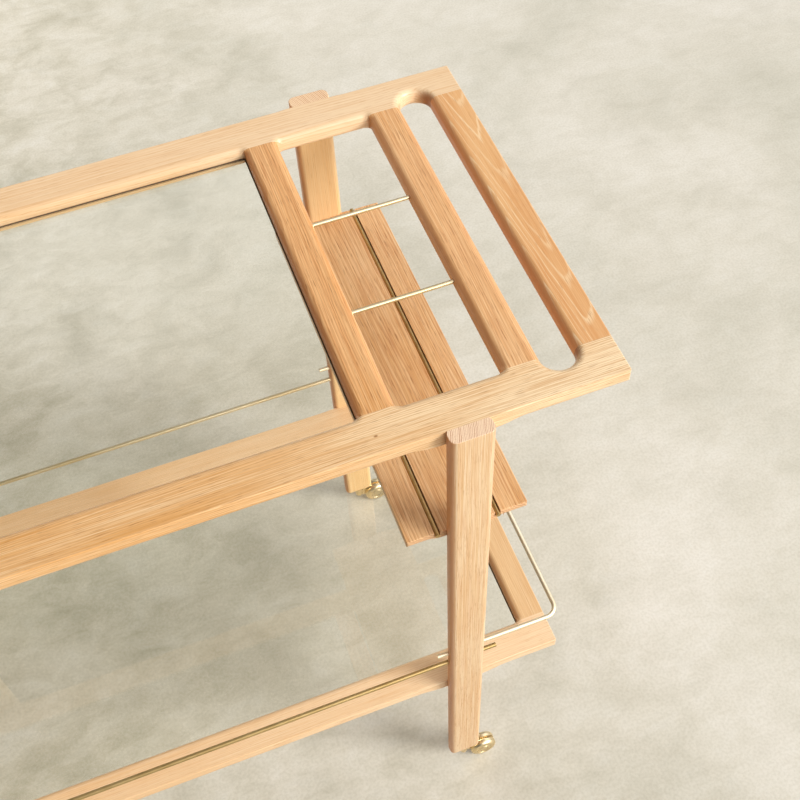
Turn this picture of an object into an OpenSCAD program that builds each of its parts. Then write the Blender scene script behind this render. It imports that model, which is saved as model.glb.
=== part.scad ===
// Oak bar cart on brass casters: a glazed top frame with a handle slot and a bottle bay at one end,
// a bottle shelf under the bay, and a glazed lower frame inside a brass gallery.
// Millimetres, +Z up. X runs along the cart, with the handle at the right (+X) end.
// The origin is on the floor under the middle of the cart.

/* [Overall] */
// Length of the top frame
top_len = 900; // [800:10:1100]
// Width of both frames, without the legs
frame_w = 400; // [360:10:440]
// Height of the top face above the floor
cart_h = 774; // [700:2:860]

/* [Top frame] */
// Thickness of the frame members
frame_t = 18; // [18:1:24]
// Width of the long rails
rail_w = 38; // [34:1:46]
// Width of the handle, crossbars and end rails
member_w = 32; // [30:1:40]
// Gap between the handle and the crossbar
slot_w = 31; // [28:1:40]
// How far the handle slot runs into the rails
slot_reach = 15; // [8:1:18]
// Length of the bottle bay along the cart
bay_len = 92; // [84:2:120]

/* [Edges] */
// Round-over on the top edges of every opening
over_r = 7; // [4:0.5:8]
// Rounding under the members
under_r = 6; // [4:0.5:7]
// Round-over on the outer top edges
outer_r = 1.2; // [0.8:0.2:3]
// Rounding under the frames' two ends
end_under_r = 3; // [2:0.5:6]
// Radius with which the outer rounding runs out beside a leg
fade_r = 60; // [40:5:80]
// Square part of a rail's outer edge beside a leg
square_run = 4; // [2:1:8]
// Radius of the frames' outer corners seen from above
corner_r = 2; // [1.5:0.5:6]
// Inner corner radius that the round-over cutter leaves
inner_r = 6; // [4:0.5:10]

/* [Glass] */
// Thickness of the glass
glass_t = 4; // [3:0.5:5]
// Depth of the glass face below the top face
glass_drop = 11; // [8:0.5:11]
// How far the glass runs into the wood on each side
glass_seat = 4; // [3:0.25:4.5]
// Height of the groove over the glass
groove_gap = 1; // [0.5:0.1:1.5]

/* [Bottle bay] */
// Diameter of the divider rods
divider_d = 4; // [3:0.5:6]
// Depth of the divider rods in each crossbar
divider_seat = 10; // [6:1:14]

/* [Legs] */
// Width of a leg along the cart
leg_w = 39; // [36:1:46]
// Depth of a leg across the cart
leg_d = 16; // [16:0.5:20]
// How far a leg stands proud of the frames
leg_out = 14; // [12:0.5:14.5]
// Corner radius of the leg section
leg_r = 6; // [4:0.5:7.5]
// Rounding of the leg's upper end
leg_top_r = 0.8; // [0.5:0.1:2]
// Rounding of the leg's foot
leg_foot_r = 3; // [1:0.5:4]

/* [Bottle shelf] */
// Drop from the top face to the shelf
shelf_drop = 158; // [130:2:200]
// Width of the shelf along the cart
shelf_w = 116; // [100:2:130]
// How far the shelf sits towards the handle from the middle of the legs
shelf_shift = 1.5; // [0:0.5:3]
// Thickness of the shelf
shelf_t = 10; // [10:0.5:14]
// Rounding under the shelf
shelf_under_r = 5; // [2:0.5:5.5]
// Rounding on the shelf's upper edges
shelf_top_r = 1; // [0.5:0.5:1.5]
// Radius with which the shelf's rounding runs out beside a leg
shelf_fade_r = 14; // [10:1:20]
// Distance between the two rods let into the shelf
shelf_rod_pitch = 58; // [56:1:64]
// Diameter of the shelf rods
shelf_rod_d = 4.5; // [3:0.5:5]
// How far the shelf rods stand out at each end
shelf_rod_tip = 2; // [1:0.5:4]

/* [Lower frame] */
// Height of the lower frame's top face
lower_top = 262; // [240:2:300]
// How much shorter the lower frame is at each end
lower_inset = 25; // [0:1:40]

/* [Gallery] */
// Diameter of the gallery rods
rod_d = 5; // [4:0.5:6]
// Height of the long rods above the lower frame
rod_rise = 62; // [50:1:80]
// Height of the end rods above the long rods
rod_step = 24; // [15:1:35]
// Bend radius of the end rods
bend_r = 13; // [10:1:20]
// Distance from the lower frame's end to the end rod
end_rod_inset = 7; // [4:1:16]
// How far the rods sit inwards from the middle of a leg
rod_in = 2.5; // [0:0.5:4]
// How far the long rods stand out past the legs
long_tip = 17; // [8:1:24]
// How far the end rods stand out past the legs
end_tip = 12; // [6:1:20]

/* [Casters] */
// Height from the floor to the leg's foot
caster_h = 40; // [40:1:50]
// Diameter of a wheel
wheel_d = 34; // [32:1:34]
// Width of a wheel
wheel_w = 7.5; // [7:0.5:9]
// Distance from the swivel axis to the axle
trail = 26; // [25:1:30]
// Diameter of the axle
axle_d = 6; // [5:0.5:7]
// Diameter of the swivel stem
stem_d = 8; // [7:0.5:8]
// Length of the swivel stem
stem_len = 27; // [20:1:34]

/* [Joinery and fits] */
// Diameter of the dowels in the frame joints
dowel_d = 6; // [5:0.5:7]
// Length of the dowels in the frame joints
dowel_len = 30; // [24:1:34]
// Diameter of the dowels that hold the legs
leg_dowel_d = 5; // [4:0.5:6]
// Length of the dowels that hold the legs
leg_dowel_len = 20; // [16:1:24]
// Radial clearance of glued and pressed pieces in their holes
fixed_clear = 0.05; // [0.02:0.01:0.1]
// Radial clearance of the stems and wheels
run_clear = 0.05; // [0.02:0.01:0.1]
// End clearance of a dowel in its hole
end_clear = 0.5; // [0.25:0.25:1]
// Side gap between pieces that turn past each other
turn_gap = 0.4; // [0.3:0.1:0.8]

/* [Hidden] */
$fn = 64;
skin = 1; // how far a cutting tool runs past the face that it cuts

corners = ["front_right", "rear_right", "front_left", "rear_left"];
caster_parts = ["socket", "body", "axle", "outer_wheel", "inner_wheel"];

oak_rail = [0.92, 0.79, 0.60];
oak_cross = [0.85, 0.66, 0.43];
oak_leg = [0.90, 0.74, 0.52];
beech_dowel = [0.86, 0.76, 0.62];
brass = [0.83, 0.72, 0.47];
clear_glass = [0.80, 0.90, 0.86, 0.35];

// Places along the top frame, from the handle inwards
end_x = top_len / 2;
handle_x = end_x - member_w;
slot_x = handle_x - slot_w;
bay_x1 = slot_x - member_w;
bay_x0 = bay_x1 - bay_len;
glass_x1 = bay_x0 - member_w;
glass_x0 = -end_x + member_w;

// Places across the cart and up
side_y = frame_w / 2;
joint_y = side_y - rail_w;
mid_z = cart_h - frame_t / 2;
leg_x = (bay_x0 + bay_x1) / 2;
leg_y = side_y + leg_out - leg_d / 2;
dado_d = leg_d - leg_out;
leg_in_y = side_y - dado_d;
divider_y = joint_y / 3;
shelf_top = cart_h - shelf_drop;
shelf_x = leg_x + shelf_shift;
lower_end_x = lower_end(lower_inset);
lower_glass_x = lower_end_x - member_w;
lower_mid_z = lower_top - frame_t / 2;
long_rod_z = lower_top + rod_rise;
end_rod_z = long_rod_z + rod_step;
end_rod_x = lower_end_x - end_rod_inset;
rod_y = leg_y - rod_in;
groove_run = glass_seat + 0.5;
dowel_x = member_w / 5;
leg_dowel_x = leg_w / 4;
groove_w = shelf_rod_d + 1;
groove_d = shelf_rod_d + 0.5;

// Caster sizes that follow from the others
wheel_r = wheel_d / 2;
web_t = 2.4;
wheel_in_y = web_t / 2 + turn_gap;
flange_t = 1.5;
flange_d = stem_d + 7;
sleeve_d = stem_d + 3;
sleeve_len = stem_len + 3;
hub_top = caster_h - flange_t - turn_gap;
hub_t = 4;
hub_d = stem_d + 7;
neck_r = 5;
head_d = axle_d + 4;
head_t = 1.4;
head_seat = head_t + turn_gap;

function lower_end(inset) = top_len / 2 - inset;
function corner_sign(i) = [i < 2 ? 1 : -1, i % 2 == 0 ? -1 : 1];

// A rectangle about the origin with true arcs at its corners
module soft_rect(x, y, r) {
  difference() {
    square([x, y], center = true);
    for (sx = [-1, 1]) for (sy = [-1, 1])
      translate([sx * (x / 2 - r), sy * (y / 2 - r)]) difference() {
        translate([sx > 0 ? 0 : -r - skin, sy > 0 ? 0 : -r - skin]) square(r + skin);
        circle(r = r);
      }
  }
}

// A rail section, w across and t high, with one radius above and one below
module rail_section(w, t, r_top, r_low) {
  difference() {
    translate([-w / 2, 0]) square([w, t]);
    for (s = [-1, 1]) {
      translate([s * (w / 2 - r_top), t - r_top]) difference() {
        translate([s > 0 ? 0 : -r_top - skin, 0]) square(r_top + skin);
        circle(r = r_top);
      }
      translate([s * (w / 2 - r_low), r_low]) difference() {
        translate([s > 0 ? 0 : -r_low - skin, -r_low - skin]) square(r_low + skin);
        circle(r = r_low);
      }
    }
  }
}

// What a quarter-round cutter takes off an edge: the wall is at x = 0 and the wood at x > 0
module cutter_section(r) {
  difference() {
    translate([-skin / 2, 0]) square([r + skin / 2, r + skin]);
    translate([r, 0]) circle(r = r);
  }
}

// The cutter carried round an outline of x by y with corner radius c, in the plane of the face.
// side = 1 rounds the wood around an opening, side = -1 the wood inside an outline.
module edge_cutter(x, y, c, r, side = 1) {
  translate([0, 0, -r]) {
    for (s = [-1, 1]) {
      if (x > 2 * c + 0.01)
        translate([0, s * y / 2, 0]) rotate([90, 0, 90]) translate([0, 0, c - x / 2])
          linear_extrude(x - 2 * c) mirror([s * side < 0 ? 1 : 0, 0]) cutter_section(r);
      if (y > 2 * c + 0.01)
        translate([s * x / 2, 0, 0]) rotate([90, 0, 0]) translate([0, 0, c - y / 2])
          linear_extrude(y - 2 * c) mirror([s * side < 0 ? 1 : 0, 0]) cutter_section(r);
    }
    for (k = [0:3]) {
      sx = (k == 0 || k == 3) ? 1 : -1;
      sy = k < 2 ? 1 : -1;
      translate([sx * (x / 2 - c), sy * (y / 2 - c), 0]) rotate(90 * k)
        rotate_extrude(angle = 90) translate([c, 0]) mirror([side < 0 ? 1 : 0, 0]) cutter_section(r);
    }
  }
}

// A frame before it is parted: its length, its height above the floor and its softened outside
module frame_blank(len, z_top) {
  translate([0, 0, z_top - frame_t]) intersection() {
    rotate([90, 0, 90]) translate([0, 0, -len / 2])
      linear_extrude(len) rail_section(frame_w, frame_t, outer_r, under_r);
    rotate([90, 0, 0]) translate([0, 0, -side_y])
      linear_extrude(frame_w) rail_section(len, frame_t, outer_r, end_under_r);
    linear_extrude(frame_t) soft_rect(len, frame_w, corner_r);
  }
}

// Where an edge's full rounding ends, measured from the middle of a leg
function fade_start(r_fade, r_edge) =
  leg_w / 2 + square_run + sqrt(2 * r_fade * r_edge + r_edge * r_edge);

// The square-edged land on a rail's outer face behind the leg at x.
// Its edges run out into the rounding of the rail in arcs of radius r_fade.
module leg_land(x, s, z_top, t, r_top, r_low, r_fade) {
  a = fade_start(r_fade, max(r_top, r_low));
  depth = max(r_top, r_low) + skin;
  translate([x, s * side_y, z_top - t]) mirror([0, s > 0 ? 1 : 0, 0]) difference() {
    translate([-a, 0, 0]) cube([2 * a, depth, t]);
    for (e = [-1, 1]) mirror([e < 0 ? 1 : 0, 0, 0]) {
      fade_cut(a, t, r_top, r_fade);
      translate([0, 0, t]) mirror([0, 0, 1]) fade_cut(a, t, r_low, r_fade);
    }
  }
}
// One run-out: a short straight cut from x = a inwards to where this edge's arc starts, then the arc
module fade_cut(a, t, r, r_fade) {
  b = fade_start(r_fade, r);
  translate([b, -r_fade, t - r]) rotate(90) rotate_extrude(angle = 40, $fn = 96)
    translate([r_fade, 0]) cutter_section(r);
  if (a > b) translate([b, 0, t - r]) rotate([90, 0, 90]) linear_extrude(a - b + skin) cutter_section(r);
}

// A block from x0 to x1 and from y0 to y1 through a frame
module member_block(x0, x1, y0, y1, z_top) {
  translate([x0, y0, z_top - frame_t - skin]) cube([x1 - x0, y1 - y0, frame_t + 2 * skin]);
}

// Rounds the upper edge of the opening from x0 to x1, and the lower edge too if open_below
module opening_edges(x0, x1, half_y, c, z_top, open_below) {
  translate([(x0 + x1) / 2, 0, z_top]) edge_cutter(x1 - x0, 2 * half_y, c, over_r);
  if (open_below)
    translate([(x0 + x1) / 2, 0, z_top - frame_t]) mirror([0, 0, 1])
      edge_cutter(x1 - x0, 2 * half_y, c, under_r);
}

module handle_slot() {
  translate([(slot_x + handle_x) / 2, 0, cart_h - frame_t - skin])
    linear_extrude(frame_t + 2 * skin) {
      square([slot_w, 2 * (joint_y + slot_reach) - slot_w], center = true);
      for (s = [-1, 1]) translate([0, s * (joint_y + slot_reach - slot_w / 2)]) circle(d = slot_w);
    }
  opening_edges(slot_x, handle_x, joint_y + slot_reach, slot_w / 2, cart_h, true);
}
module bay_edges() { opening_edges(bay_x0, bay_x1, joint_y, inner_r, cart_h, true); }
module top_glass_edges() { opening_edges(glass_x0, glass_x1, joint_y, inner_r, cart_h, false); }
module lower_glass_edges() {
  opening_edges(-lower_glass_x, lower_glass_x, joint_y, inner_r, lower_top, false);
}

// Round holes for a pair of dowels across each glue line of a member centred on x
module frame_dowel_set(x, z, d, len) {
  for (sy = [-1, 1]) for (dx = [-dowel_x, dowel_x])
    translate([x + dx, sy * joint_y, z]) rotate([90, 0, 0]) cylinder(d = d, h = len, center = true);
}
function top_joint_xs() = [end_x - member_w / 2, slot_x - member_w / 2,
                           bay_x0 - member_w / 2, -end_x + member_w / 2];
function lower_joint_xs() = [lower_end_x - member_w / 2, -lower_end_x + member_w / 2];
module frame_dowel_holes(xs, z) {
  for (x = xs) frame_dowel_set(x, z, dowel_d + 2 * fixed_clear, dowel_len + 2 * end_clear);
}

// Dowels that hold a leg, with their middle on the floor of the leg's housing
module leg_dowel_set(i, zs, d, len) {
  s = corner_sign(i);
  for (z = zs) for (dx = [-leg_dowel_x, leg_dowel_x])
    translate([s[0] * leg_x + dx, s[1] * leg_in_y, z]) rotate([90, 0, 0])
      cylinder(d = d, h = len, center = true);
}
module leg_dowel_holes(i, zs) {
  leg_dowel_set(i, zs, leg_dowel_d + 2 * fixed_clear, leg_dowel_len + 2 * end_clear);
}
function leg_levels(i) = i < 2 ? [mid_z, shelf_top - shelf_t / 2, lower_mid_z] : [mid_z, lower_mid_z];

// One long rail of the top frame, with its share of the slot, the bay and the groove for the glass.
// It is the front one, and the rear one is its mirror image.
module top_rail() {
  color(oak_rail) difference() {
    union() {
      intersection() {
        frame_blank(top_len, cart_h);
        member_block(-end_x - skin, end_x + skin, -side_y - skin, -joint_y, cart_h);
      }
      for (sx = [-1, 1]) leg_land(sx * leg_x, -1, cart_h, frame_t, outer_r, under_r, fade_r);
    }
    handle_slot();
    bay_edges();
    top_glass_edges();
    top_glass_groove();
    frame_dowel_holes(top_joint_xs(), mid_z);
    for (i = [0, 2]) leg_dowel_holes(i, [mid_z]);
  }
}
// The groove that holds the glass, run round the opening from x0 to x1
module glass_groove(x0, x1, z_top) {
  translate([x0 - groove_run, -joint_y - groove_run, z_top - glass_drop - glass_t])
    cube([x1 - x0 + 2 * groove_run, 2 * (joint_y + groove_run), glass_t + groove_gap]);
}
module top_glass_groove() { glass_groove(glass_x0, glass_x1, cart_h); }
module lower_glass_groove() { glass_groove(-lower_glass_x, lower_glass_x, lower_top); }

module handle_rail() {
  color(oak_cross) difference() {
    intersection() {
      frame_blank(top_len, cart_h);
      member_block(handle_x, end_x + skin, -joint_y, joint_y, cart_h);
    }
    handle_slot();
    frame_dowel_holes([end_x - member_w / 2], mid_z);
  }
}

// The two divider rods, or the holes for them
module divider_rods(d, seat, signs) {
  for (s = signs)
    translate([bay_x0 - seat, s * divider_y, mid_z]) rotate([0, 90, 0])
      cylinder(d = d, h = bay_len + 2 * seat);
}
module divider_holes() { divider_rods(divider_d + 2 * fixed_clear, divider_seat + end_clear, [-1, 1]); }

module outer_crossbar() {
  color(oak_cross) difference() {
    member_bar(bay_x1, slot_x, cart_h);
    handle_slot();
    bay_edges();
    divider_holes();
    frame_dowel_holes([slot_x - member_w / 2], mid_z);
  }
}
module member_bar(x0, x1, z_top) {
  translate([x0, -joint_y, z_top - frame_t]) cube([x1 - x0, 2 * joint_y, frame_t]);
}

module inner_crossbar() {
  color(oak_cross) difference() {
    member_bar(glass_x1, bay_x0, cart_h);
    bay_edges();
    top_glass_edges();
    top_glass_groove();
    divider_holes();
    frame_dowel_holes([bay_x0 - member_w / 2], mid_z);
  }
}

module top_left_end_rail() {
  color(oak_cross) difference() {
    intersection() {
      frame_blank(top_len, cart_h);
      member_block(-end_x - skin, glass_x0, -joint_y, joint_y, cart_h);
    }
    top_glass_edges();
    top_glass_groove();
    frame_dowel_holes([-end_x + member_w / 2], mid_z);
  }
}

// A glass pane that lies in the groove of the opening from x0 to x1
module pane(x0, x1, z_top) {
  color(clear_glass) translate([(x0 + x1) / 2, 0, z_top - glass_drop - glass_t])
    linear_extrude(glass_t)
      soft_rect(x1 - x0 + 2 * glass_seat, 2 * (joint_y + glass_seat), 2);
}
module top_glass() { pane(glass_x0, glass_x1, cart_h); }
module lower_glass() { pane(-lower_glass_x, lower_glass_x, lower_top); }

module top_frame_dowels() {
  color(beech_dowel) for (x = top_joint_xs()) frame_dowel_set(x, mid_z, dowel_d, dowel_len);
}
module lower_frame_dowels() {
  color(beech_dowel) for (x = lower_joint_xs()) frame_dowel_set(x, lower_mid_z, dowel_d, dowel_len);
}
module front_divider_rod() { color(brass) divider_rods(divider_d, divider_seat, [-1]); }
module rear_divider_rod() { color(brass) divider_rods(divider_d, divider_seat, [1]); }

// A leg: an upright with housings on its inner side for the frames and the shelf
module leg(i) {
  s = corner_sign(i);
  leg_len = cart_h - caster_h;
  housings = i < 2
    ? [[cart_h, frame_t], [shelf_top, shelf_t], [lower_top, frame_t]]
    : [[cart_h, frame_t], [lower_top, frame_t]];
  color(oak_leg) difference() {
    translate([s[0] * leg_x, s[1] * leg_y, caster_h]) difference() {
      linear_extrude(leg_len) soft_rect(leg_w, leg_d, leg_r);
      translate([0, 0, leg_len]) edge_cutter(leg_w, leg_d, leg_r, leg_top_r, -1);
      mirror([0, 0, 1]) edge_cutter(leg_w, leg_d, leg_r, leg_foot_r, -1);
    }
    for (h = housings)
      translate([s[0] * leg_x, s[1] * (side_y - leg_d / 2), h[0] - h[1] / 2 + (h[0] == cart_h ? skin : 0)])
        cube([leg_w + 2 * skin, leg_d, h[1] + (h[0] == cart_h ? 2 * skin : 0)], center = true);
    for (z = [long_rod_z, end_rod_z])
      translate([s[0] * leg_x, s[1] * rod_y, z]) rotate([0, 90, 0])
        cylinder(d = rod_d + 2 * fixed_clear, h = leg_w + 2 * skin, center = true);
    translate([s[0] * leg_x, s[1] * leg_y, caster_h - skin])
      cylinder(d = sleeve_d + 2 * fixed_clear, h = sleeve_len + end_clear + skin);
    leg_dowel_holes(i, leg_levels(i));
  }
}
module leg_dowels() {
  color(beech_dowel) for (i = [0:3]) leg_dowel_set(i, leg_levels(i), leg_dowel_d, leg_dowel_len);
}

// The bottle shelf, with a groove along it for each brass rod
module bottle_shelf() {
  color(oak_cross) difference() {
    union() {
      translate([shelf_x, 0, shelf_top - shelf_t]) intersection() {
        rotate([90, 0, 0]) translate([0, 0, -side_y])
          linear_extrude(frame_w) rail_section(shelf_w, shelf_t, shelf_top_r, 2);
        rotate([90, 0, 90]) translate([0, 0, -shelf_w / 2])
          linear_extrude(shelf_w) rail_section(frame_w, shelf_t, shelf_top_r, shelf_under_r);
        linear_extrude(shelf_t) soft_rect(shelf_w, frame_w, 2);
      }
      for (s = [-1, 1]) leg_land(leg_x, s, shelf_top, shelf_t, shelf_top_r, shelf_under_r, shelf_fade_r);
    }
    for (s = [-1, 1])
      translate([shelf_x + s * shelf_rod_pitch / 2 - groove_w / 2, -side_y - skin, shelf_top - groove_d])
        cube([groove_w, frame_w + 2 * skin, groove_d + skin]);
    for (i = [0, 1]) leg_dowel_holes(i, [shelf_top - shelf_t / 2]);
  }
}
module shelf_rods() {
  color(brass) for (s = [-1, 1])
    translate([shelf_x + s * shelf_rod_pitch / 2, 0, shelf_top - groove_d + shelf_rod_d / 2])
      rotate([90, 0, 0]) cylinder(d = shelf_rod_d, h = frame_w + 2 * shelf_rod_tip, center = true);
}

// The front long rail of the lower frame; the rear one is its mirror image
module lower_rail() {
  color(oak_rail) difference() {
    union() {
      intersection() {
        frame_blank(2 * lower_end_x, lower_top);
        member_block(-lower_end_x - skin, lower_end_x + skin, -side_y - skin, -joint_y, lower_top);
      }
      for (sx = [-1, 1]) leg_land(sx * leg_x, -1, lower_top, frame_t, outer_r, under_r, fade_r);
    }
    lower_glass_edges();
    lower_glass_groove();
    frame_dowel_holes(lower_joint_xs(), lower_mid_z);
    for (i = [0, 2]) leg_dowel_holes(i, [lower_mid_z]);
  }
}
module lower_end_rail(s) {
  color(oak_cross) difference() {
    intersection() {
      frame_blank(2 * lower_end_x, lower_top);
      member_block(s > 0 ? lower_glass_x : -lower_end_x - skin,
                   s > 0 ? lower_end_x + skin : -lower_glass_x, -joint_y, joint_y, lower_top);
    }
    lower_glass_edges();
    lower_glass_groove();
    frame_dowel_holes([s * (lower_end_x - member_w / 2)], lower_mid_z);
  }
}

// A straight gallery rod that passes through both legs of one side
module gallery_long_rod(s) {
  len = 2 * (leg_x + leg_w / 2 + long_tip);
  color(brass) translate([0, s * rod_y, long_rod_z]) rotate([0, 90, 0])
    cylinder(d = rod_d, h = len, center = true);
}
// A gallery rod bent round one end, with its two tips through the legs of that end
module gallery_end_rod(s) {
  arm_x0 = leg_x - leg_w / 2 - end_tip;
  arm_x1 = end_rod_x - bend_r;
  color(brass) mirror([s < 0 ? 1 : 0, 0, 0]) translate([0, 0, end_rod_z]) {
    for (sy = [-1, 1]) {
      translate([arm_x0, sy * rod_y, 0]) rotate([0, 90, 0]) cylinder(d = rod_d, h = arm_x1 - arm_x0);
      translate([arm_x1, sy * (rod_y - bend_r), 0]) rotate(sy > 0 ? 0 : -90)
        rotate_extrude(angle = 90) translate([bend_r, 0]) circle(d = rod_d);
    }
    translate([end_rod_x, 0, 0]) rotate([90, 0, 0])
      cylinder(d = rod_d, h = 2 * (rod_y - bend_r), center = true);
  }
}

// The pieces of one caster stand about its swivel axis, with the wheels trailing towards +X
module at_caster(i) {
  s = corner_sign(i);
  translate([s[0] * leg_x, s[1] * leg_y, 0]) children();
}
module caster_socket() {
  color(brass) difference() {
    translate([0, 0, caster_h - flange_t]) {
      cylinder(d = flange_d, h = flange_t);
      cylinder(d = sleeve_d, h = flange_t + sleeve_len);
    }
    translate([0, 0, caster_h - flange_t - skin])
      cylinder(d = stem_d + 2 * run_clear, h = flange_t + sleeve_len + 2 * skin);
  }
}
module caster_body() {
  color(brass) difference() {
    union() {
      translate([0, 0, hub_top - hub_t]) cylinder(d = hub_d, h = hub_t);
      translate([0, 0, hub_top - skin]) cylinder(d = stem_d, h = stem_len + skin);
      translate([0, 0, wheel_r + neck_r]) cylinder(r = neck_r, h = hub_top - hub_t - wheel_r - neck_r + skin);
      translate([0, 0, wheel_r + neck_r]) sphere(r = neck_r);
      translate([0, web_t / 2, 0]) rotate([90, 0, 0]) linear_extrude(web_t) {
        polygon([[-neck_r, wheel_r + neck_r], [-neck_r, hub_top - hub_t / 2], [neck_r + 3, hub_top - hub_t / 2],
                 [trail - 8, wheel_d - 3], [trail + 8, wheel_r + 7], [trail + 8, wheel_r - 2], [trail - 8, wheel_r - 8]]);
        translate([trail, wheel_r]) circle(r = axle_d / 2 + 5);
      }
    }
    translate([trail, 0, wheel_r]) rotate([90, 0, 0])
      cylinder(d = axle_d + 2 * fixed_clear, h = web_t + 2 * skin, center = true);
  }
}
module caster_axle() {
  reach = wheel_in_y + wheel_w - turn_gap / 2;
  color(brass) translate([trail, 0, wheel_r]) rotate([90, 0, 0]) {
    cylinder(d = axle_d, h = 2 * reach, center = true);
    for (s = [-1, 1]) translate([0, 0, s * (reach - head_t / 2)]) cylinder(d = head_d, h = head_t, center = true);
  }
}
// A wheel with a rounded shoulder outside and a seat for the axle's head
module caster_wheel(s) {
  shoulder = 5;
  color(brass) translate([trail, s * wheel_in_y, wheel_r]) rotate([s > 0 ? -90 : 90, 0, 0])
    rotate_extrude() difference() {
      translate([axle_d / 2 + run_clear, 0]) square([wheel_r - axle_d / 2 - run_clear, wheel_w]);
      translate([wheel_r - shoulder, wheel_w - shoulder]) difference() {
        square(shoulder + skin);
        circle(r = shoulder);
      }
      translate([0, wheel_w - head_seat]) square([head_d / 2 + turn_gap, head_seat + skin]);
      translate([wheel_r - shoulder - 3, wheel_w]) circle(r = 0.8);
    }
}

top_rail();  // top_front_rail
mirror([0, 1, 0]) top_rail();  // top_rear_rail
handle_rail();
outer_crossbar();
inner_crossbar();
top_left_end_rail();
top_glass();
top_frame_dowels();
front_divider_rod();
rear_divider_rod();
for (i = [0:3]) leg(i);
leg_dowels();
bottle_shelf();
shelf_rods();
lower_rail();  // lower_front_rail
mirror([0, 1, 0]) lower_rail();  // lower_rear_rail
lower_end_rail(1);  // lower_right_end_rail
lower_end_rail(-1);  // lower_left_end_rail
lower_glass();
lower_frame_dowels();
gallery_long_rod(-1);  // gallery_front_rod
gallery_long_rod(1);  // gallery_rear_rod
gallery_end_rod(1);  // gallery_right_end_rod
gallery_end_rod(-1);  // gallery_left_end_rod
for (i = [0:3]) {
  at_caster(i) caster_socket();
  at_caster(i) caster_body();
  at_caster(i) caster_axle();
  at_caster(i) caster_wheel(corner_sign(i)[1]);
  at_caster(i) caster_wheel(-corner_sign(i)[1]);
}
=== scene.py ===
import math

import bpy
import mathutils
import numpy as np
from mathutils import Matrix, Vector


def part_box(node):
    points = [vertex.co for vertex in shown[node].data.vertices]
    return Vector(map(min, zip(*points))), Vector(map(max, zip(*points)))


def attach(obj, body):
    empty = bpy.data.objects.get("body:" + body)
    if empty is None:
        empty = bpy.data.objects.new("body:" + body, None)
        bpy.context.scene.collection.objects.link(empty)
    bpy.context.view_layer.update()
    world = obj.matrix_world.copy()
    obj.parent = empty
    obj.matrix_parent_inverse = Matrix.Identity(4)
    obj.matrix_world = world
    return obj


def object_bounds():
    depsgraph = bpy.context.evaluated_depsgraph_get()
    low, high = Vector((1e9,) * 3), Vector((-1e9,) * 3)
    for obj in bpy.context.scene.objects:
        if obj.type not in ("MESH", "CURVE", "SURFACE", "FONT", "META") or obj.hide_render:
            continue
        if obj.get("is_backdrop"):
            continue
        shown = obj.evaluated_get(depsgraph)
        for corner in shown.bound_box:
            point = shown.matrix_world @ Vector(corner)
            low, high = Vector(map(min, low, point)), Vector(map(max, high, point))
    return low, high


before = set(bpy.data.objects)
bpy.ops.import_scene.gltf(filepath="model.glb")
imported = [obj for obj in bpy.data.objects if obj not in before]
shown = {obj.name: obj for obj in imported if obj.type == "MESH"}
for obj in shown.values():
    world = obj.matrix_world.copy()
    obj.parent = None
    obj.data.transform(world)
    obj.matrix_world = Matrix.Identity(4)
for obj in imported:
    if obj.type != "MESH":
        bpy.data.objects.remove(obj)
cad_box = [list(corner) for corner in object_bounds()]

# Camera
# A short telephoto view from the front left of the handle end, looking down on the top frame.
# Its place, turn and focal length come from the frame's and the legs' edges in the photograph.
camera = bpy.data.objects.new("camera", bpy.data.cameras.new("camera"))
camera.data.lens = 52.65
camera.data.sensor_width = 36
camera.data.sensor_fit = "HORIZONTAL"
camera.location = (0.11026362, -0.66263921, 1.53026862)
camera.rotation_euler = [math.radians(a) for a in (34.85122623, 2.0813116, -20.35233561)]
bpy.context.scene.collection.objects.link(camera)
bpy.context.scene.camera = camera
bpy.context.scene.view_settings.view_transform = "Standard"


# Floor
# A power-trowelled concrete floor, sealed and pale. It shows soft cloudy patches, a faint
# green-grey cast, fine pitting and a dull sheen.
def linear(colour):
    """An sRGB hex colour as linear light: the sRGB curve taken off each channel."""
    v = np.array([int(colour[i:i + 2], 16) for i in (1, 3, 5)]) / 255
    return (*np.where(v <= 0.04045, v / 12.92, ((v + 0.055) / 1.055) ** 2.4).tolist(), 1.0)


def node(tree, kind, links=(), ramp=(), **settings):
    """Adds a shader node, or sets one that is already there. links is what its inputs get, by name
    or in order: a number, a hex colour, an output, or a node, which stands for its first output
    in use. ramp gives a colour ramp's stops as (place, hex colour), and settings are the node's
    own fields."""
    made = tree.nodes.new("ShaderNode" + kind) if isinstance(kind, str) else kind
    for field, value in settings.items():
        setattr(made, field, value)
    if ramp:
        stops = made.color_ramp.elements
        while len(stops) < len(ramp):
            stops.new(0.5)
        for stop, (place, colour) in zip(stops, ramp):
            stop.position, stop.color = place, linear(colour)
    for socket, value in links.items() if isinstance(links, dict) else enumerate(links):
        if isinstance(value, bpy.types.Node):
            value = next(output for output in value.outputs if output.enabled)
        if isinstance(value, bpy.types.NodeSocket):
            tree.links.new(value, made.inputs[socket])
        else:
            made.inputs[socket].default_value = linear(value) if isinstance(value, str) else value
    return made


def finish_of(name):
    """A new material, with its node tree, its shader and the outputs of its coordinates."""
    made = bpy.data.materials.new(name)
    made.use_nodes = True
    tree = made.node_tree
    return made, tree, tree.nodes["Principled BSDF"], node(tree, "TexCoord").outputs


concrete, tree, shader, place = finish_of("sealed_concrete")
at = place["Object"]
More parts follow.
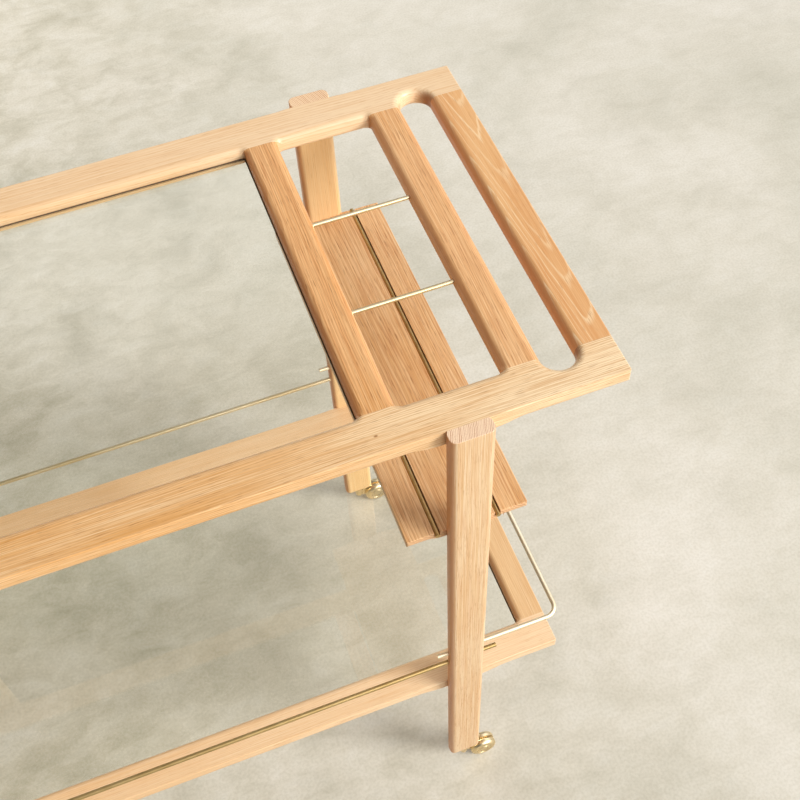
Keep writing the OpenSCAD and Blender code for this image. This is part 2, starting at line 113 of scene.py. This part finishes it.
# Clouds about 450 mm across, marks of the trowel about 120 mm across, and pits, drawn 4 mm apart
# because finer ones don't show
clouds = node(tree, "TexNoise", {"Vector": at, "Scale": 2.2, "Detail": 5.0, "Roughness": 0.6,
                                 "Distortion": 0.5})
trowel = node(tree, "TexNoise", {"Vector": at, "Scale": 8.0, "Detail": 8.0, "Roughness": 0.66,
                                 "Distortion": 0.4})
grit = node(tree, "TexNoise", {"Vector": at, "Scale": 260.0, "Detail": 2.0})
# Marks of the trowel's edge: faint smears about 60 mm long and 30 mm wide
smear_turn = node(tree, "Mapping", {"Vector": at, "Rotation": (0, 0, 0.9), "Scale": (16, 34, 1)})
smears = node(tree, "TexNoise", {"Vector": smear_turn, "Scale": 1.0, "Detail": 5.0, "Roughness": 0.62,
                                 "Distortion": 0.8})
# The marks get stronger, and the floor darker, towards the cart's left end
across = node(tree, "SeparateXYZ", [at])
leftward_share = node(tree, "MapRange", {"Value": across.outputs["X"], "From Min": 0.7, "From Max": -0.4,
                               "To Min": 0.22, "To Max": 0.62})
grit_share = 0.7
tone = node(tree, "ValToRGB", [clouds],
            ramp=((0.30, "#CEC9BA"), (0.50, "#DAD4C6"), (0.68, "#E2DCD0")))
for marks, share, shades in (
        (trowel, leftward_share, ((0.32, "#BFBCA9"), (0.52, "#F2F0E9"), (0.68, "#FFFFFF"))),
        (smears, leftward_share, ((0.36, "#DEDACD"), (0.54, "#F6F4EE"), (0.66, "#FFFFFF"))),
        (grit, grit_share, ((0.35, "#F1F0EC"), (0.60, "#FFFFFF")))):
    shade = node(tree, "ValToRGB", [marks], ramp=shades)
    tone = node(tree, "Mix", {0: share, 6: tone, 7: shade}, data_type="RGBA", blend_type="MULTIPLY")
gloss = node(tree, "MapRange", {"Value": trowel, "To Min": 0.48, "To Max": 0.68})
pits = node(tree, "Bump", {"Strength": 0.15, "Distance": 0.0004, "Height": grit})
node(tree, shader, {"Base Color": tone, "Roughness": gloss, "Specular IOR Level": 0.2, "Normal": pits})

floor_reach = 9
corners = [(-floor_reach, -floor_reach, 0), (floor_reach, -floor_reach, 0),
           (floor_reach, floor_reach, 0), (-floor_reach, floor_reach, 0)]
floor_mesh = bpy.data.meshes.new("floor")
floor_mesh.from_pydata(corners, [], [(0, 1, 2, 3)])
floor_mesh.materials.append(concrete)
floor = bpy.data.objects.new("floor", floor_mesh)
bpy.context.scene.collection.objects.link(floor)
floor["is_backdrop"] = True

# Light
# A bright room with a large window to the front right, a weaker wide one in front, a soft glow
# from behind the cart, and light from all round that is weak on the left.

# Each lamp's name, place, the point that it faces, width and height, power in watts, and whether
# metal and glass mirror it. What they mirror behind the cart is in the world instead.
for name, start, aim, size, power, shines in (
        ("window", (6.4, -5.33, 5.08), (0.1, 0.0, 0.5), (3.6, 3.3), 880, True),
        ("front_window", (2.36, -6.55, 5.04), (0.3, -0.2, 0.7), (3.6, 1.2), 126, True),
        ("rear_glow", (-0.9, 3.4, 2.0), (-0.5, 1.0, 0.0), (3.2, 1.6), 70, False)):
    lamp = bpy.data.lights.new(name, "AREA")
    lamp.shape = "RECTANGLE"
    lamp.size, lamp.size_y = size
    lamp.energy = power
    lamp_object = bpy.data.objects.new(name, lamp)
    away = np.array(start, float) - np.array(aim, float)
    away /= np.linalg.norm(away)
    side = np.cross((0, 0, 1), away)
    side /= np.linalg.norm(side)
    turn = np.eye(4)
    turn[:3, 0], turn[:3, 1], turn[:3, 2], turn[:3, 3] = side, np.cross(away, side), away, start
    lamp_object.matrix_world = mathutils.Matrix(turn.tolist())
    lamp_object.visible_glossy = shines
    bpy.context.scene.collection.objects.link(lamp_object)

world = bpy.data.worlds.new("soft_room")
world.use_nodes = True
bpy.context.scene.world = world
tree = world.node_tree
facing = node(tree, "TexCoord").outputs["Generated"]
soft_step = {"interpolation_type": "SMOOTHSTEP"}
lit_side = node(tree, "VectorMath", [facing, (0.88, -0.30, 0.36)], operation="DOT_PRODUCT")
room = node(tree, "MapRange", {"Value": lit_side, "From Min": -0.2, "From Max": 0.9,
                               "To Min": 0.14, "To Max": 0.76}, **soft_step)
# Polished metal and glass mirror the bright window side, which is high up, and the dark rest of
# the room more sharply
mirrored = node(tree, "MapRange", {"Value": lit_side, "From Min": 0.1, "From Max": 0.8,
                                   "To Min": 0.10, "To Max": 1.7}, **soft_step)
height = node(tree, "SeparateXYZ", [facing])
high_up = node(tree, "MapRange", {"Value": height.outputs["Z"], "From Min": 0.15, "From Max": 0.40},
               **soft_step)
sharp = node(tree, "Mix", {0: high_up, 2: room, 3: mirrored})
# The glass panes mirror a soft glow behind the cart, about 37 degrees up
rear_side = node(tree, "VectorMath", [facing, (0.0, 0.80, 0.60)], operation="DOT_PRODUCT")
rear_glow = node(tree, "MapRange", {"Value": rear_side, "From Min": 0.955, "From Max": 0.985,
                                    "To Min": 0.0, "To Max": 1.05}, **soft_step)
mirror_sum = node(tree, "Math", [sharp, rear_glow], operation="ADD")
ray = node(tree, "LightPath")
seen = node(tree, "Mix", {0: ray.outputs["Is Glossy Ray"], 2: room, 3: mirror_sum})
node(tree, tree.nodes["Background"], {"Color": "#FAFBFF", "Strength": seen})


# Long oak rails
# Four straight-grained white oak rails, 38 x 18 mm, moulded along their edges and finished
# with clear matt oil. The dowelled cross pieces are glued between them.
def board_of(name, along, pith, rings, wander, lean, tones, fibre, early, pores, streaks, ends,
             shift=0.0, fall=0.75, side=None, fade=None, knot=None):
    """White oak under clear matt oil: pale fibre, growth rings with a row of open pores at each
    ring's start, darker streaks where pores lie close, browner end grain and a low sheen.
    The distance from the pith, with a slow wander, over the ring width gives each ring; its share
    past the whole number gives the early wood.
    along is the grain's axis, and pith the tree's middle across it. rings is the ring width and
    wander how far a ring strays. lean tilts the rings to the board's face, which makes flames.
    shift moves the pattern, and fall is the share of the year at which the early wood ends.
    tones are the pale and the darker wood. fibre, early, pores and side are each a colour and how
    strong it is, and side is painted shade on the faces turned towards -X. streaks is how strong
    they are, and ends are the two colours of the end grain.
    fade is where along the grain the board starts and stops getting paler, and knot the place of
    a pin knot, along and across the grain."""
    made, tree, shader, place = finish_of(name)
    axes = {"x": "YZX", "y": "XZY", "z": "XYZ"}[along]
    xyz = node(tree, "SeparateXYZ", [place["Object"]]).outputs
    wide, deep, down = (xyz[axis] for axis in axes)
    grain = node(tree, "CombineXYZ", [wide, deep, down])
    board = node(tree, "VectorMath", [grain, (shift, shift * 0.7, shift * 1.3)])

    # Noise stretched along the grain: how wide and long its spots are in metres, its detail and
    # its roughness. Pores are 0.3 mm wide; drawn 0.9 mm wide and 13 mm long, because finer ones
    # don't show. Pores that touch make the streaks, and the fibre lies in bundles.
    noise = {}
    for pattern, spot, length, detail, rough in (
            ("slow stray", 0.030, 0.30, 2.0, 0.55), ("quick stray", 0.006, 0.05, 1.0, 0.55),
            ("pores", 0.0009, 0.013, 1.0, 0.6), ("streaks", 0.0010, 0.060, 1.0, 0.5),
            ("fibre", 0.0012, 0.15, 2.0, 0.6), ("drift", 0.035, 0.20, 2.0, 0.55)):
        scaled = node(tree, "VectorMath", [board, (1 / spot, 1 / spot, 1 / length)],
                      operation="MULTIPLY")
        noise[pattern] = node(tree, "TexNoise", {"Vector": scaled, "Scale": 1.0, "Detail": detail,
                                                 "Roughness": rough})
    drawn = {}
    for pattern, low, high in (("pores", 0.54, 0.70), ("streaks", 0.44, 0.66),
                               ("fibre", 0.36, 0.66), ("drift", 0.32, 0.68)):
        drawn[pattern] = node(tree, "MapRange", {"Value": noise[pattern], "From Min": low,
                                                 "From Max": high}, **soft_step)

    # Rings: the quick stray is a sixth of the slow one
    flat = node(tree, "CombineXYZ", [wide, deep])
    away = node(tree, "VectorMath", [flat, (*pith, 0.0)], operation="DISTANCE")
    away = node(tree, "Math", [down, lean, away], operation="MULTIPLY_ADD")
    for pattern, reach in (("slow stray", wander), ("quick stray", wander * 0.16)):
        stray = node(tree, "Math", [noise[pattern], 0.5], operation="SUBTRACT")
        away = node(tree, "Math", [stray, reach, away], operation="MULTIPLY_ADD")
    ring = node(tree, "Math", [away, rings], operation="DIVIDE")
    year = node(tree, "Math", [ring], operation="FRACT")
    whole = node(tree, "Math", [ring], operation="FLOOR")

    # Early wood comes in over the first tenth of the year and is gone by the fall. Each year's has
    # a strength of its own, from 0.4 to 1. Most pores lie in it.
    rise = node(tree, "MapRange", {"Value": year, "From Min": 0.0, "From Max": 0.10}, **soft_step)
    sink = node(tree, "MapRange", {"Value": year, "From Min": 0.12, "From Max": fall, "To Min": 1.0,
                                   "To Max": 0.0}, **soft_step)
    luck = node(tree, "TexWhiteNoise", {"W": whole}, noise_dimensions="1D")
    strength = node(tree, "Math", [luck, 0.6, 0.4], operation="MULTIPLY_ADD")
    early_wood = node(tree, "Math", [rise, sink], operation="MULTIPLY")
    early_wood = node(tree, "Math", [early_wood, strength], operation="MULTIPLY")
    crowd = node(tree, "Math", [early_wood, 0.7, 0.3], operation="MULTIPLY_ADD")
    pore_rows = node(tree, "Math", [drawn["pores"], crowd], operation="MULTIPLY")

    # The layers of colour on the pale wood, from the bottom up: each one's pattern, how strong
    # it is and its colour
    darker = drawn["drift"]
    if fade:
        # The board gets paler from one place along the grain to another
        gone = node(tree, "MapRange", {"Value": down, "From Min": fade[0], "From Max": fade[1],
                                       "To Min": 0.65, "To Max": 0.0}, **soft_step)
        darker = node(tree, "Math", [darker, 0.35, gone], operation="MULTIPLY_ADD")
    layers = [(darker, 1.0, tones[1]), (drawn["fibre"], fibre[1], fibre[0]),
              (early_wood, early[1], early[0]), (drawn["streaks"], streaks, early[0]),
              (pore_rows, pores[1], pores[0])]
    if knot:
        # A pin knot about 3 mm long, and 1.8 times as long as it is wide
        there = node(tree, "CombineXYZ", [down, wide])
        off = node(tree, "VectorMath", [there, (*knot, 0.0)], operation="SUBTRACT")
        squeezed = node(tree, "VectorMath", [off, (math.sqrt(0.3), 1.0, 1.0)], operation="MULTIPLY")
        far = node(tree, "VectorMath", [squeezed], operation="LENGTH")
        eye = node(tree, "MapRange", {"Value": far, "From Min": 0.0004, "From Max": 0.0013,
                                      "To Min": 0.85, "To Max": 0.0}, **soft_step)
        layers.append((eye, 1.0, pores[0]))
    # End grain soaks up more oil, so it is darker and redder
    normal = node(tree, "SeparateXYZ", [place["Normal"]]).outputs
    steep = node(tree, "Math", [normal[axes[2]]], operation="ABSOLUTE")
    end = node(tree, "MapRange", {"Value": steep, "From Min": 0.70, "From Max": 0.92}, **soft_step)
    open_grain = node(tree, "Math", [early_wood, pore_rows], operation="MAXIMUM")
    end_tone = node(tree, "Mix", {0: open_grain, 6: ends[0], 7: ends[1]}, data_type="RGBA")
    layers.append((end, 1.0, end_tone))
    if side:
        # Painted shade: faces turned towards -X, away from the window, get a redder, darker colour
        turned = node(tree, "Math", [normal["X"], -1.0], operation="MULTIPLY")
        shaded_left = node(tree, "MapRange", {"Value": turned, "From Min": 0.15, "From Max": 0.95},
                     **soft_step)
        layers.append((shaded_left, side[1], side[0]))
    colour = tones[0]
    for pattern, strong, tone in layers:
        share = node(tree, "Math", [pattern, strong], operation="MULTIPLY")
        colour = node(tree, "Mix", {0: share, 6: colour, 7: tone}, data_type="RGBA")

    # Pores and fibre are a little duller than the oiled wood. The fibre stands up to 0.05 mm
    # proud, and the pores and streaks are sunk.
    dull = node(tree, "Math", [drawn["fibre"], 0.06, 0.30], operation="MULTIPLY_ADD")
    gloss = node(tree, "Math", [pore_rows, 0.18, dull], operation="MULTIPLY_ADD")
    proud = node(tree, "Math", [drawn["fibre"], 0.25], operation="MULTIPLY")
    sunk = node(tree, "Math", [drawn["streaks"], 0.4, pore_rows], operation="MULTIPLY_ADD")
    height = node(tree, "Math", [proud, sunk], operation="SUBTRACT")
    relief = node(tree, "Bump", {"Strength": 0.3, "Distance": 0.0002, "Height": height})
    node(tree, shader, {"Base Color": colour, "Roughness": gloss, "Normal": relief, "IOR": 1.48})
    return made


def dress(material, *names):
    """Gives CAD nodes their material."""
    for name in names:
        shown[name].material_slots[0].material = material


# All four get paler to the handle end. The top front one shows fine brown lines and a pin knot,
# and the others are calmer.
# Each board's side colour is painted shade on its faces turned towards -X
rail_oak = board_of("straight_grained_oak", "x", pith=(0.35, 0.27), rings=0.00125, wander=0.010,
                    lean=0.010, tones=("#F9DDB2", "#E1A764"), fibre=("#FBE2B8", 0.4),
                    early=("#C4863F", 0.5), pores=("#96602C", 0.55), streaks=0.44,
                    ends=("#E3B888", "#A97650"), side=("#8C5230", 0.85), fade=(0.04, 0.42),
                    knot=(0.2385, -0.184))
calm_oak = board_of("calm_pale_oak", "x", pith=(0.50, 0.33), rings=0.0020, wander=0.010,
                    lean=0.010, tones=("#F1D2A9", "#E3B57F"), fibre=("#F4D8B1", 0.4),
                    early=("#D8A26A", 0.35), pores=("#B67C44", 0.35), streaks=0.28,
                    ends=("#E3B888", "#A97650"), shift=2.3, side=("#9C5E34", 0.85),
                    fade=(-0.2, 0.42))
dress(rail_oak, "top_front_rail")
dress(calm_oak, "top_rear_rail", "lower_front_rail", "lower_rear_rail")

# Crossbars and end rails
# Shorter oak pieces that run across the frames, rounded over like a bullnose and dowelled
# between the long rails. The top frame's are cut from redder boards with open, wavy grain, and
# the lower frame's from a calmer, honey-coloured one.
bar_oak = board_of("red_brown_oak", "y", pith=(0.62, 0.52), rings=0.0019, wander=0.016,
                   lean=0.02, tones=("#E6AC70", "#DA9953"), fibre=("#F3C58C", 0.6),
                   early=("#B26E34", 0.5), pores=("#86501F", 0.55), streaks=0.42,
                   ends=("#C9976A", "#8F5E3C"), shift=3.1, side=("#CC7C44", 0.8))
outer_oak = board_of("warm_oak", "y", pith=(0.70, 0.50), rings=0.0017, wander=0.014,
                     lean=0.018, tones=("#E8B37B", "#DFA365"), fibre=("#F6CC97", 0.6),
                     early=("#BC7A44", 0.5), pores=("#8E542A", 0.55), streaks=0.4,
                     ends=("#C9976A", "#8F5E3C"), shift=9.2, side=("#D28C58", 0.75))
end_oak = board_of("honey_oak", "y", pith=(0.62, 0.10), rings=0.0022, wander=0.012,
                   lean=0.015, tones=("#E2BB88", "#DAAE78"), fibre=("#EBCCA0", 0.5),
                   early=("#CA905A", 0.3), pores=("#AC743E", 0.3), streaks=0.25,
                   ends=("#E3B888", "#A97650"), shift=4.4, side=("#C8854E", 0.75))
dress(bar_oak, "inner_crossbar", "top_left_end_rail")
dress(outer_oak, "outer_crossbar")
dress(end_oak, "lower_right_end_rail", "lower_left_end_rail")

# Handle
# The end rail that the hand grips, flat-sawn from orange-brown oak, so its top shows flames
# of pale growth rings.
handle_oak = board_of("flat_sawn_oak", "y", pith=(0.441, 0.725), rings=0.00095, wander=0.0030,
                      lean=-0.020, tones=("#E2AB70", "#D89A5E"), fibre=("#ECBE88", 0.5),
                      early=("#F8DAAC", 0.7), pores=("#A86832", 0.55), streaks=0.0,
                      ends=("#C9976A", "#8F5E3C"), shift=7.7, fall=0.34, side=("#C97C48", 0.75))
dress(handle_oak, "handle_rail")

# Glass panes
# Two sheets of clear 4 mm float glass with ground and polished edges, let into grooves
# inside the frames. They are nearly invisible, with a pale green edge.
clear_glass, tree, shader, place = finish_of("clear_float_glass")
# Wiped surfaces, with a trace of haze in patches about 140 mm across
wiping = node(tree, "TexNoise", {"Vector": place["Object"], "Scale": 7.0, "Detail": 4.0,
                                 "Roughness": 0.6})
haze = node(tree, "MapRange", {"Value": wiping, "From Min": 0.45, "From Max": 0.8, "To Min": 0.0,
                               "To Max": 0.01})
node(tree, shader, {"Base Color": "#FBFBF6", "Transmission Weight": 1.0, "IOR": 1.52,
                    "Roughness": haze})
# Lamps and scattered light pass straight through, so the glass throws only a faint shadow
ray = node(tree, "LightPath").outputs
passes = node(tree, "Math", [ray["Is Shadow Ray"], ray["Is Diffuse Ray"]], operation="MAXIMUM")
through = node(tree, "BsdfTransparent", {"Color": "#EFF2EF"})
both = node(tree, "MixShader", [passes, shader, through])
node(tree, tree.nodes["Material Output"], {"Surface": both})
dress(clear_glass, "top_glass", "lower_glass")

# Shadow line cords
# A thin dark brown cord, 1.2 mm across, at the mouth of the groove above each pane, all the way
# round. It is painted shadow: it shows as the fine dark line of the shaded gap between glass and wood.
shadow_line_dark, tree, shader, place = finish_of("painted_shadow_line")
# A faint mottle, drawn in patches about 5 mm across
mottle = node(tree, "TexNoise", {"Vector": place["Object"], "Scale": 220.0, "Detail": 3.0})
tone = node(tree, "ValToRGB", [mottle], ramp=((0.3, "#46331F"), (0.7, "#5A4530")))
node(tree, shader, {"Base Color": tone, "Roughness": 0.55})


def cord_round(name, low, high, corner, radius, height):
    """A closed cord along a rounded rectangle. The path's angle gives a point on the corner arc,
    centre + corner * (cos, sin), and the tube adds radius * (cos t * outward + sin t * up)."""
    arc_points, round_points = 7, 12
    quarter = np.repeat(np.arange(4), arc_points)
    turn = np.concatenate([np.linspace(k, k + 1, arc_points) for k in range(4)]) * math.pi / 2
    x = np.where((quarter == 0) | (quarter == 3), high[0] - corner, low[0] + corner)
    y = np.where(quarter < 2, high[1] - corner, low[1] + corner)
    x, y = x + corner * np.cos(turn), y + corner * np.sin(turn)
    t = np.linspace(0, 2 * math.pi, round_points, endpoint=False)
    out = radius * np.cos(t)[None, :]
    points = np.stack([x[:, None] + out * np.cos(turn)[:, None],
                       y[:, None] + out * np.sin(turn)[:, None],
                       np.broadcast_to(height + radius * np.sin(t), (len(x), len(t)))], axis=-1)
    i, j = np.meshgrid(np.arange(len(x)), np.arange(len(t)), indexing="ij")
    i2, j2 = (i + 1) % len(x), (j + 1) % len(t)
    faces = np.stack([i * len(t) + j, i2 * len(t) + j, i2 * len(t) + j2, i * len(t) + j2], axis=-1)
    mesh = bpy.data.meshes.new(name)
    mesh.from_pydata(points.reshape(-1, 3).tolist(), [], faces.reshape(-1, 4).tolist())
    mesh.polygons.foreach_set("use_smooth", [True] * len(mesh.polygons))
    mesh.materials.append(shadow_line_dark)
    made = bpy.data.objects.new(name, mesh)
    bpy.context.scene.collection.objects.link(made)
    return made


# The cord lies on the pane, 4.6 mm inside its edge, where the groove's lip ends
cord_inset = 0.0046
cord_corner = 0.003
cord_radius = 0.0006
for pane in ("top_glass", "lower_glass"):
    low, high = (np.array(corner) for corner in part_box(pane))
    cord = cord_round(pane.replace("glass", "shadow_line_cord"), low[:2] + cord_inset,
                      high[:2] - cord_inset, cord_corner, cord_radius, high[2] + cord_radius)
    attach(cord, "cart")


# Divider rods
# Two 4 mm brass rods between the crossbars that keep the bottles apart, cut from drawn rod
# and pressed into blind holes.
def brass_of(name, patches, tones, roughness):
    """Solid brass with a patina: soft noise, with that many patches to a metre, takes the colour
    from the first tone to the second. roughness is one number, or the two between which brushing
    varies it; its marks are drawn about 8 mm long, because finer ones don't show."""
    made, tree, shader, place = finish_of(name)
    patina = node(tree, "TexNoise", {"Vector": place["Object"], "Scale": patches, "Detail": 3.0})
    tone = node(tree, "ValToRGB", [patina], ramp=((0.3, tones[0]), (0.7, tones[1])))
    if isinstance(roughness, tuple):
        brushing = node(tree, "TexNoise", {"Vector": place["Object"], "Scale": 120.0, "Detail": 2.0})
        roughness = node(tree, "MapRange", {"Value": brushing, "To Min": roughness[0],
                                            "To Max": roughness[1]})
    node(tree, shader, {"Base Color": tone, "Metallic": 1.0, "Roughness": roughness})
    return made


brass = brass_of("brushed_brass", 14.0, ("#E0C998", "#EEDDB8"), (0.30, 0.40))
dress(brass, "front_divider_rod", "rear_divider_rod")

# Legs
# Four uprights of straight-grained oak, 39 x 16 mm, with rounded corners and open end grain
# on top. Housings 2 mm deep hold the frames and the shelf, each with two dowels. The rear legs
# are paler and calmer than the front ones.
leg_oak = board_of("oak_leg", "z", pith=(0.73, -0.355), rings=0.0013, wander=0.005,
                   lean=0.004, tones=("#E1BF91", "#D9AF7C"), fibre=("#EED8B5", 0.6),
                   early=("#C88C56", 0.5), pores=("#A46834", 0.5), streaks=0.42,
                   ends=("#F8DAB6", "#B4704A"), shift=5.3, side=("#DC8E52", 0.85))
calm_leg_oak = board_of("calm_oak_leg", "z", pith=(0.73, 0.355), rings=0.0018, wander=0.005,
                        lean=0.004, tones=("#F6CE96", "#EFC286"), fibre=("#FADCAA", 0.5),
                        early=("#E2AE70", 0.3), pores=("#BC8448", 0.3), streaks=0.2,
                        ends=("#F4D2A8", "#C4885E"), shift=6.6, side=("#DC8E52", 0.85))
dress(leg_oak, "leg_front_right", "leg_front_left")
dress(calm_leg_oak, "leg_rear_right", "leg_rear_left")

# Bottle shelf
# One 10 mm oak board across the right legs, under the bottle bay, with its grain across the
# cart and two grooves for the brass rods.
shelf_oak = board_of("oak_shelf", "y", pith=(0.05, 0.37), rings=0.0024, wander=0.012,
                     lean=0.012, tones=("#E6BA85", "#D9A66C"), fibre=("#F2D0A0", 0.55),
                     early=("#BC7A42", 0.5), pores=("#925626", 0.6), streaks=0.5,
                     ends=("#E2B382", "#B88256"), shift=1.9)
dress(shelf_oak, "bottle_shelf")

# Shelf rods
# Two brass rods let into the shelf's grooves, on which the bottles stand. Their brass is painted
# a dull, darker olive: painted shade for the groove's shadow and the dark wood that they mirror.
shaded_brass = brass_of("painted_shade_brass", 60.0, ("#B89A62", "#CDB07A"), 0.42)
dress(shaded_brass, "shelf_rods")

# Gallery rods
# Brass rods 5 mm thick that stop things sliding off the lower glass: two long ones through
# the legs, and one bent round each end. The bent ones are satin and painted paler, a painted
# reflection of the bright window side, and the front one, under the top front rail, is painted
# darker with the shelf rods' painted shade.
highlight_painted_brass = brass_of("painted_highlight_brass", 18.0, ("#EEDDB8", "#F8ECD0"), 0.5)
dress(highlight_painted_brass, "gallery_right_end_rod", "gallery_left_end_rod")
dress(brass, "gallery_rear_rod")
dress(shaded_brass, "gallery_front_rod")

# Casters
# Four twin-wheel swivel casters of brass-plated zinc, pressed into the legs' feet by their
# stems. Each wheel turns on a headed axle.
for corner in ("front_right", "rear_right", "front_left", "rear_left"):
    for part in ("socket", "body", "axle", "outer_wheel", "inner_wheel"):
        dress(brass, f"caster_{corner}_{part}")

# Dowels
# Fluted beech pins in glued joints, hidden in the wood. Beech is even and pinkish brown, with
# faint rings and no rows of pores.
beech = board_of("beech_dowel", "x", pith=(0.30, 0.30), rings=0.0018, wander=0.004,
                 lean=0.0, tones=("#E6C39A", "#DFB98D"), fibre=("#EBCDA8", 0.3),
                 early=("#D2A878", 0.3), pores=("#B98C60", 0.4), streaks=0.2,
                 ends=("#D8B48A", "#B58A60"))
dress(beech, "top_frame_dowels", "lower_frame_dowels", "leg_dowels")

size = {"cad": cad_box, "visual": [list(corner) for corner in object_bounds()]}
